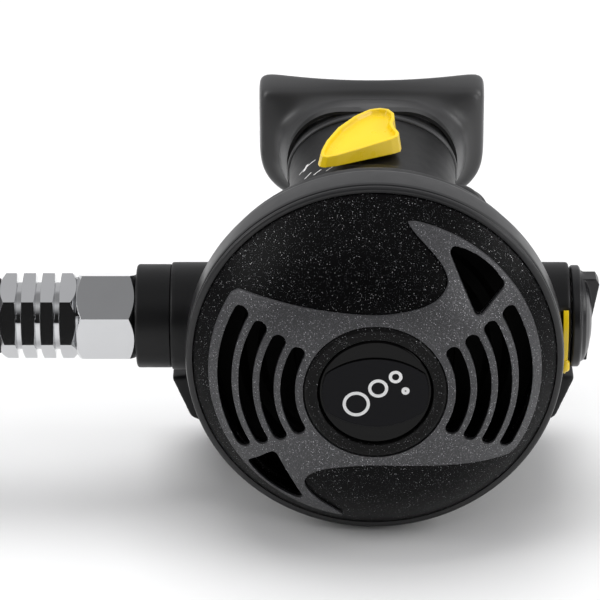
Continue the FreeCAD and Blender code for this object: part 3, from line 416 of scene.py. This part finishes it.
def lamp(name, place, aim, power, width, tall, mirrored):
    bpy.ops.object.light_add(type="AREA", location=place)
    light = bpy.context.object
    light.name = name
    light.data.shape = "RECTANGLE"
    light.data.size = width
    light.data.size_y = tall
    light.data.energy = power
    light.visible_glossy = mirrored
    light.rotation_euler = (Vector(aim) - Vector(place)).to_track_quat("-Z", "Y").to_euler()


def make_sky():
    """A white tent, open and dark towards the viewer, as round a tabletop set."""
    world = bpy.data.worlds.new("studio")
    world.use_nodes = True
    sky = Shading(world.node_tree, "Background", "Generated")
    _, back, up = sky.add("ShaderNodeSeparateXYZ", {}, {"Vector": sky.place}, "X", "Y", "Z")
    reach = up * 1.5 + back * 0.7 + 0.02
    soft = sky.add("ShaderNodeMapRange", {"interpolation_type": "SMOOTHSTEP"}, {"Value": reach}, "Result")[0]
    overhead = {"Value": up, "From Min": 0.85, "From Max": 0.99, "To Min": 1.0, "To Max": 0.5}
    zenith = sky.add("ShaderNodeMapRange", {"interpolation_type": "SMOOTHSTEP"}, overhead, "Result")[0]
    sky.wire("Color", sky.mix(soft * zenith, (0.02, 0.02, 0.02), (0.66, 0.66, 0.67)))
    sky.shader.inputs["Strength"].default_value = 1.0
    bpy.context.scene.world = world


def make_studio():
    bpy.ops.mesh.primitive_plane_add(size=12, location=(0, 0, -0.2 * MM))
    floor = bpy.context.object
    floor.name = "floor"
    paper = Finish("floor_paper", roughness=0.95, specular_ior_level=0.1)
    paper.wire("Base Color", paper.mix(paper.noise(8, 2), (0.88, 0.88, 0.88), (0.92, 0.92, 0.92)))
    floor.data.materials.append(paper.material)
    lamp("top_box", (-0.1, 0.25, 1.3), (0, 0.02, 0.04), 11, 1.0, 0.9, False)
    lamp("left_box", (-0.8, -0.25, 0.5), (0, 0, 0.05), 2.2, 0.3, 0.5, True)
    lamp("right_box", (0.75, -0.7, 0.34), (0.02, 0, 0.05), 2, 0.35, 0.45, True)
    lamp("side_box", (0.85, -0.05, 0.45), (0, 0.03, 0.05), 2.2, 0.3, 0.5, True)
    make_sky()
    bpy.context.scene.view_settings.view_transform = "Standard"


# ---------------------------------------------------------------- hose

HOSE_ROUTE = [(-0.0856, 0.0, 0.0435), (-0.116, 0.0, 0.0435), (-0.146, -0.0005, 0.0385),
              (-0.176, -0.0015, 0.0265), (-0.209, -0.001, 0.0145)]
HOSE_RADIUS = 6.5 * MM
COIL_CENTRE = (-0.2, 0.068)
COIL_INNER = 0.066
COIL_PITCH = 0.014
COIL_TURNS = 1.2
COIL_START = math.radians(-110)
POINTS_A_TURN = 16
COIL_FIRST = 0.04
COIL_LIFT = 0.14


def coil_spot(fraction, height):
    turned_by = 2 * math.pi * COIL_TURNS * fraction
    angle = COIL_START - turned_by
    radius = COIL_INNER + COIL_PITCH * COIL_TURNS * fraction
    return (COIL_CENTRE[0] + radius * math.cos(angle), COIL_CENTRE[1] + radius * math.sin(angle), height)


def make_hose():
    spots = list(HOSE_ROUTE)
    count = round(POINTS_A_TURN * COIL_TURNS)
    end_height = middle("end_ferrule").z
    for index in range(count + 1):
        fraction = COIL_FIRST + (1 - COIL_FIRST) * index / count
        lift = max(0.0, (fraction - (1 - COIL_LIFT)) / COIL_LIFT)
        height = HOSE_RADIUS + (end_height - HOSE_RADIUS) * lift * lift * (3 - 2 * lift)
        spots.append(coil_spot(fraction, height))
    curve = bpy.data.curves.new("hose", "CURVE")
    curve.dimensions = "3D"
    spline = curve.splines.new("NURBS")
    spline.points.add(len(spots) - 1)
    for point, spot in zip(spline.points, spots):
        point.co = (*spot, 1)
    spline.order_u = 3
    spline.use_endpoint_u = True
    spline.resolution_u = 10
    curve.bevel_depth = HOSE_RADIUS
    curve.bevel_resolution = 10
    curve.use_fill_caps = True
    curve.materials.append(HOSE_RUBBER)
    hose = bpy.data.objects.new("hose", curve)
    bpy.context.scene.collection.objects.link(hose)
    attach(hose, "body")
    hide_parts("hose_tube", "hose_coil")
    return hose


GUARD_RADIUS = 8.75
GUARD_BORE = 6.55
GUARD_GROOVES = 4
GROOVE_STEP = 4.2


def make_guard():
    """The rubber hose guard, with shallow flex grooves round its taper."""
    low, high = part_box("hose_protector")
    length = (high.x - low.x) / MM
    profile = [(0, GUARD_BORE), (0, 8.1), (-0.25, 8.55), (-0.8, GUARD_RADIUS), (-6, GUARD_RADIUS)]
    for groove in range(GUARD_GROOVES):
        at = -8.5 - groove * GROOVE_STEP
        wall = GUARD_RADIUS + (at + 6) * 1.25 / (length - 6)
        profile += [(at + 0.9, wall + 0.05), (at + 0.55, wall - 0.45), (at, wall - 0.65),
                    (at - 0.55, wall - 0.45), (at - 0.9, wall)]
    profile += [(-length + 1.2, 7.55), (-length + 0.4, 7.4), (-length, 7.0),
                (-length, GUARD_BORE), (0, GUARD_BORE)]
    guard = turned("hose_guard", profile, "X", Vector((high.x, 0, AXIS)))
    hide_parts("hose_protector")
    return finish_piece(guard, "body", GUARD_RUBBER)


# ---------------------------------------------------------------- shells

DOME_RISE = 16.0
DOME_POWER = 3.2
DOME_FOOT = RING_RADIUS / MM - 1.65
PANEL_RISE = 0.75
PANEL_BACK = 0.3
PANEL_SINK = 0.5


def dome_front(x, z, lift):
    """Where the cover's face lies at a place, in metres, lifted off it in millimetres."""
    radius = math.hypot(x, z - AXIS) / MM
    height = DOME_RISE * (1 - min(1, radius / DOME_FOOT) ** DOME_POWER)
    return RING_FRONT - (height + lift) * MM


def snap_to_dome(piece, lift, reach):
    """Irons the flat of a face back onto the dome, and leaves its worn edges as they are."""
    for vertex in piece.data.vertices:
        at = vertex.co
        radius = math.hypot(at.x, at.z - AXIS) / MM
        if radius > DOME_FOOT - 1.5:
            continue
        front = dome_front(at.x, at.z, lift)
        off = abs(at.y - front) / MM
        if off < reach:
            hold = min(1.0, (reach - off) / (0.35 * reach))
            at.y += (front - at.y) * hold


def make_cover():
    """The domed shell, and the panel whose back edge sinks into it."""
    cover = softened("front_cover", "cover_shell", 0.46, 5)
    snap_to_dome(cover, 0.0, 0.18)
    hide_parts("front_cover")
    finish_piece(cover, "body", COVER_BLACK, 60)
    panel = merged_copy("cover_accent", "cover_panel")
    for vertex in panel.data.vertices:
        at = vertex.co
        if at.y > dome_front(at.x, at.z, PANEL_BACK):
            at.y += PANEL_SINK * MM
    melt(panel, 0.27, 4)
    snap_to_dome(panel, PANEL_RISE, 0.12)
    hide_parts("cover_accent")
    finish_piece(panel, "body", PANEL_GREY, 60)


def make_ring():
    """The clamp ring: a rolled bead in front, a fine groove behind it and a soft rear edge."""
    outer = RING_RADIUS / MM
    inner = outer - 1.05
    profile = [(0.0, inner - 0.55), (-0.12, inner - 0.1), (-0.15, outer - 0.95), (-0.05, outer - 0.6),
               (0.15, outer - 0.35), (0.45, outer - 0.22), (0.8, outer - 0.25), (1.0, outer - 0.5),
               (1.2, outer - 0.5), (1.4, outer - 0.15), (1.8, outer - 0.02), (2.4, outer),
               (8.4, outer), (9.1, outer - 0.08), (9.6, outer - 0.35), (9.9, outer - 0.8),
               (9.9, inner + 0.05), (0.7, inner + 0.05), (0.7, inner - 0.55), (0.0, inner - 0.55)]
    ring = turned("clamp_ring", profile, "Y", Vector((0, RING_FRONT, AXIS)), 160)
    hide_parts("retaining_ring")
    return finish_piece(ring, "body", RING_SATIN)


def make_case():
    case = softened("case", "main_case", 0.67, 6)
    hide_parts("case")
    finish_piece(case, "body", CASE_NYLON, 60)
    tee = softened("exhaust_tee", "exhaust_duct", 0.6, 14)
    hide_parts("exhaust_tee")
    finish_piece(tee, "body", TEE_RUBBER, 60)
    return case


# ---------------------------------------------------------------- mouthpiece

FLANGE_HALF = (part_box("mouthpiece")[1].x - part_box("mouthpiece")[0].x) / 2 / MM
LOOP_POINTS = 120

# Each station of the rubber: half width, half height, how square its upper and lower corners are,
# its place along the tube, and how far the bite bends its sides towards the mouth.
MOUTH_STATIONS = [
    (18.2, 12.1, 2, 2, 48.2, 0), (19.6, 13.6, 2, 2, 47.75, 0), (20.25, 14.25, 2, 2, 47.8, 0),
    (20.5, 14.5, 2, 2, 48.3, 0), (20.45, 14.45, 2, 2, 48.9, 0), (19.95, 14.0, 2, 2, 49.25, 0),
    (19.95, 14.0, 2, 2, 49.7, 0), (20.5, 14.4, 2, 2, 50.1, 0), (21.1, 14.65, 2, 2, 52.0, 0),
    (21.9, 14.7, 2.1, 2.1, 54.6, 0), (22.5, 14.4, 2.2, 2.15, 56.8, 0), (22.7, 13.9, 2.5, 2.2, 58.6, 0),
    (23.2, 13.5, 3.0, 2.3, 60.0, 0), (24.6, 13.5, 4.5, 2.4, 61.0, 0), (26.0, 14.1, 8.0, 2.5, 61.5, 0),
    (26.9, 15.0, 14.0, 2.6, 61.9, 0.2), (27.3, 15.9, 20.0, 2.6, 62.5, 0.8),
    (FLANGE_HALF, 16.7, 22.0, 2.6, 63.6, 3.6), (FLANGE_HALF, 17.0, 22.0, 2.6, 64.4, 5.5),
    (27.3, 16.8, 20.0, 2.6, 65.1, 5.8), (26.4, 16.0, 12.0, 2.5, 65.2, 5.8),
    (21.0, 12.6, 3.0, 2.4, 64.9, 5.6), (16.6, 10.6, 2.2, 2.2, 64.4, 4.0),
    (15.7, 9.9, 2, 2, 63.0, 1.0), (15.6, 9.8, 2, 2, 60.2, 0), (18.2, 12.1, 2, 2, 59.9, 0)]


def mouth_loop(half_wide, half_tall, upper, lower, back, bend):
    """The corners of one loop round the mouth tube, evenly turned about its middle."""
    for index in range(LOOP_POINTS):
        angle = 2 * math.pi * index / LOOP_POINTS
        c, s = math.cos(angle), math.sin(angle)
        square = upper if s > 0 else lower
        reach = (abs(c / half_wide) ** square + abs(s / half_tall) ** square) ** (-1 / square)
        x, z = reach * c, reach * s
        yield Vector((x * MM, (back + bend * (x / FLANGE_HALF) ** 2) * MM, TUBE_Z + z * MM))


LUG_PLACE = 22
GRIP_BARS = 3


def bite_lug(side):
    """One bite lug with its end rib and its grip bars."""
    x, z = LUG_PLACE * side, TUBE_Z / MM
    shapes = [(2.6, 6.2, 64.0, 84.4, 1.9), (3.0, 6.0, 81.2, 84.8, 1.3)]
    shapes += [(3.0, 5.2, 71.5 + 3 * row, 72.7 + 3 * row, 0.5) for row in range(GRIP_BARS)]
    parts = []
    for half, tall, near, far, edge in shapes:
        part = box_piece("bite_lug", (x - half, near, z - tall), (x + half, far, z + tall))
        modify(part, "BEVEL", width=edge * MM, segments=3)
        parts.append(part)
    lug = join(*parts)
    melt(lug, 0.4, 3)
    return lug


def make_mouthpiece():
    """A loop of rubber pulled from station to station, with two bite lugs grown out of its flange."""
    bpy.ops.object.select_all(action="DESELECT")
    bpy.ops.mesh.primitive_circle_add(vertices=LOOP_POINTS, radius=MM, fill_type="NOTHING")
    piece = bpy.context.object
    piece.name = "mouth_rubber"
    edit(piece)
    for _ in MOUTH_STATIONS:
        bpy.ops.mesh.extrude_region_move(TRANSFORM_OT_translate={"value": (0, 0, 0)})
    done()
    for ring, station in enumerate(MOUTH_STATIONS + MOUTH_STATIONS[:1]):
        loop = piece.data.vertices[ring * LOOP_POINTS:(ring + 1) * LOOP_POINTS]
        for vertex, spot in zip(loop, mouth_loop(*station)):
            vertex.co = spot
    clean(piece)
    modify(piece, "SUBSURF", levels=1, render_levels=1)
    for side in (-1, 1):
        lug = bite_lug(side)
        modify(piece, "BOOLEAN", object=lug, operation="UNION", solver="EXACT")
        bpy.data.objects.remove(lug)
    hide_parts("mouthpiece")
    return finish_piece(piece, "body", SILICONE, 50)


# ---------------------------------------------------------------- venturi lever

LEVER_OUTLINE = [(-12.6, 18.4), (-12.9, 16.6), (-12.5, 15.1), (-11.2, 14.6), (-8.6, 15.5), (-2.0, 19.2),
                 (4.6, 22.9), (6.3, 24.3), (6.6, 26.2), (5.5, 28.6), (5.0, 30.6), (5.6, 33.0),
                 (5.5, 35.6), (4.2, 37.8), (2.0, 38.6), (-0.6, 37.9), (-4.4, 34.4), (-8.6, 28.6),
                 (-11.4, 22.6)]


LEVER_TALL = 4.9
LEVER_DROP = 4.8
HUB_RADIUS = 5
HUB_TALL = 0.9


def lever_tilt(x, y):
    """How far the lever's top moves up: more to its thumb end and to its rear rim."""
    along = ((x + 13) * 0.72 + (y - 16) * 0.69) / 24
    across = ((y - 15) - (x + 12.5) * 0.456) / 14
    return min(1, max(0, along)) * 1.9 + min(1, max(0, across)) * 1.5 - 2.6


def make_venturi():
    """The yellow lever: a scoop whose rim rises from its pointer to its thumb end."""
    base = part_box("venturi_lever")[1].z / MM - LEVER_DROP
    bpy.ops.object.select_all(action="DESELECT")
    bpy.ops.mesh.primitive_circle_add(vertices=len(LEVER_OUTLINE), radius=MM, fill_type="NGON")
    lever = bpy.context.object
    lever.name = "thumb_lever"
    for vertex, (x, y) in zip(lever.data.vertices, reversed(LEVER_OUTLINE)):
        vertex.co = Vector((x, y, base)) * MM
    edit(lever)
    bpy.ops.mesh.normals_make_consistent(inside=False)
    bpy.ops.mesh.extrude_region_move(TRANSFORM_OT_translate={"value": (0, 0, LEVER_TALL * MM)})
    bpy.ops.transform.resize(value=(0.93, 0.93, 1), center_override=Vector((-3, 26, base + 5)) * MM)
    bpy.ops.mesh.inset(thickness=0.7 * MM)
    bpy.ops.mesh.inset(thickness=0.35 * MM)
    bpy.ops.transform.translate(value=(0, 0, -0.9 * MM))
    bpy.ops.mesh.inset(thickness=0.6 * MM)
    bpy.ops.transform.translate(value=(0.2 * MM, 0.1 * MM, -0.5 * MM))
    done()
    for vertex in lever.data.vertices:
        if vertex.co.z > (base + 2) * MM:
            vertex.co.z += lever_tilt(vertex.co.x / MM, vertex.co.y / MM) * MM
    clean(lever)
    disc = [(0, 0), (0, HUB_RADIUS), (HUB_TALL, HUB_RADIUS), (HUB_TALL, 0)]
    hub = turned("lever_hub", disc, "Y", Vector((0, 0, 0)), 48)
    hub.rotation_euler = (math.pi / 2, 0, 0)
    hub.location = Vector((0.5, 28, base - 0.45)) * MM
    settle(hub)
    lever = join(lever, hub)
    melt(lever, 0.18, 3)
    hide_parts("venturi_lever")
    return finish_piece(lever, "venturi_lever", YELLOW, 60)


# ---------------------------------------------------------------- metal fittings, knob and button

def make_fittings():
    for node, name, width in (("swivel_nut", "hose_nut", 0.5), ("hose_ferrule", "crimp_ferrule", 0.3),
                              ("end_ferrule", "far_ferrule", 0.22), ("end_fitting", "far_fitting", 0.2),
                              ("hose_stem", "inner_stem", 0.15), ("valve_barrel", "barrel_tube", 0.15)):
        piece = machined(node, name, width)
        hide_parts(node)
        finish_piece(piece, "body", CHROME, 30, True)
    collar = machined("inlet_collar", "black_collar", 0.25)
    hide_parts("inlet_collar")
    finish_piece(collar, "body", CASE_NYLON, 30, True)


def make_knob():
    knob = softened("adjustment_knob", "grip_knob", 0.25, 5)
    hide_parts("adjustment_knob")
    finish_piece(knob, "knob", KNOB_BLACK, 60)
    clip = softened("knob_clip", "yellow_clip", 0.12, 3)
    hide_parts("knob_clip")
    finish_piece(clip, "body", YELLOW, 60)


# The bubbles of the emblem: each one's place on the badge and its radius.
BUBBLES = [(-4.2, -2.6, 3.0), (0.6, 1.2, 2.2), (4.4, 4.0, 1.5), (6.6, 0.6, 0.9)]
BUBBLE_LINE = 0.7
BUBBLE_RISE = 0.12


def make_button():
    bezel = machined("button_bezel", "bezel_ring", 0.3, 4)
    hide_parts("button_bezel")
    finish_piece(bezel, "body", BEZEL_BLACK, 30, True)
    button = machined("purge_button", "gloss_button", 0.25, 4)
    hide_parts("purge_button")
    finish_piece(button, "button", GLOSS_BLACK, 30, True)
    badge = machined("button_badge", "lens_badge", 0.15, 3)
    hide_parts("button_badge")
    finish_piece(badge, "button", BADGE_GREY, 30, True)
    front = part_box("button_badge")[0].y
    bubbles = []
    for x, z, radius in BUBBLES:
        inner = radius - BUBBLE_LINE
        profile = [(0, inner), (-BUBBLE_RISE, inner), (-BUBBLE_RISE, radius), (0, radius), (0, inner)]
        bubbles.append(turned("bubble", profile, "Y", Vector((x * MM, front, AXIS + z * MM)), 40))
    emblem = join(*bubbles)
    emblem.name = "bubble_emblem"
    finish_piece(emblem, "button", MARK_WHITE)


# Each printed stroke: its middle on the tube, its turn, its length and its width.
STROKES = [(-15.2, 23.0, 37, 1.9, 0.4), (-13.0, 21.3, 30, 2.0, 0.4), (-10.2, 19.9, 38, 1.9, 0.4),
           (-15.4, 29.6, 18, 4.0, 0.35), (-15.8, 29.4, 70, 2.6, 0.6)]


def make_marks(case):
    """Three ticks and a pointer printed on the mouth tube beside the lever."""
    marks = []
    for x, y, turn, length, width in STROKES:
        bpy.ops.object.select_all(action="DESELECT")
        bpy.ops.mesh.primitive_grid_add(x_subdivisions=12, y_subdivisions=3, size=1,
                                        location=Vector((x, y, 90)) * MM)
        mark = bpy.context.object
        mark.scale = (length * MM, width * MM, 1)
        mark.rotation_euler = (0, 0, math.radians(turn))
        settle(mark)
        marks.append(mark)
    mark = join(*marks)
    mark.name = "printed_marks"
    modify(mark, "SHRINKWRAP", target=case, wrap_method="PROJECT", use_project_z=True,
           use_project_x=False, use_project_y=False, use_negative_direction=True,
           use_positive_direction=False, offset=0.02 * MM)
    modify(mark, "SOLIDIFY", thickness=0.05 * MM, offset=1)
    clean(mark, 0.0005)
    finish_piece(mark, "body", MARK_WHITE)


def make_springs():
    """Copies of the two springs, each merged into one skin."""
    for node, joint, axis, travel in (("purge_spring", "purge_press", Vector((0, 1, 0)), 4),
                                      ("poppet_spring", "poppet_travel", Vector((1, 0, 0)), 1.5)):
        low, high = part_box(node)
        seat = middle(node) + axis * (high - low).dot(axis) / 2
        spring = merged_copy(node, "wound_" + node)
        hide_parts(node)
        finish_piece(spring, "body", STEEL, 60)
        tuple(axis)
        1 - (travel + 0.1) * MM / (high - low).dot(axis)
        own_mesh(spring)


INNER_FINISHES = {
    "diaphragm_plate": DIAPHRAGM_BLACK, "diaphragm_membrane": DIAPHRAGM_BLACK,
    "demand_lever": STEEL, "orifice": BRASS, "poppet_seat": SEAL_BLACK, "poppet": ACETAL,
    "spring_adjuster": BRASS, "knob_spindle": STEEL, "spindle_oring": SEAL_BLACK,
    "end_oring": SEAL_BLACK, "mouthpiece_tie": SEAL_BLACK, "venturi_vane": CASE_NYLON,
    "exhaust_valve": CLEAR_SILICONE}


def finish_inner_parts():
    for node, material in INNER_FINISHES.items():
        frame["nodes"][node].data.materials.clear()
        frame["nodes"][node].data.materials.append(material)


make_camera()
make_studio()
hose = make_hose()
guard = make_guard()
make_fittings()
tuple(HOSE_ROUTE[0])
make_cover()
make_ring()
main_case = make_case()
make_mouthpiece()
make_venturi()
make_knob()
make_button()
make_marks(main_case)
make_springs()
finish_inner_parts()
bpy.ops.object.select_all(action="DESELECT")
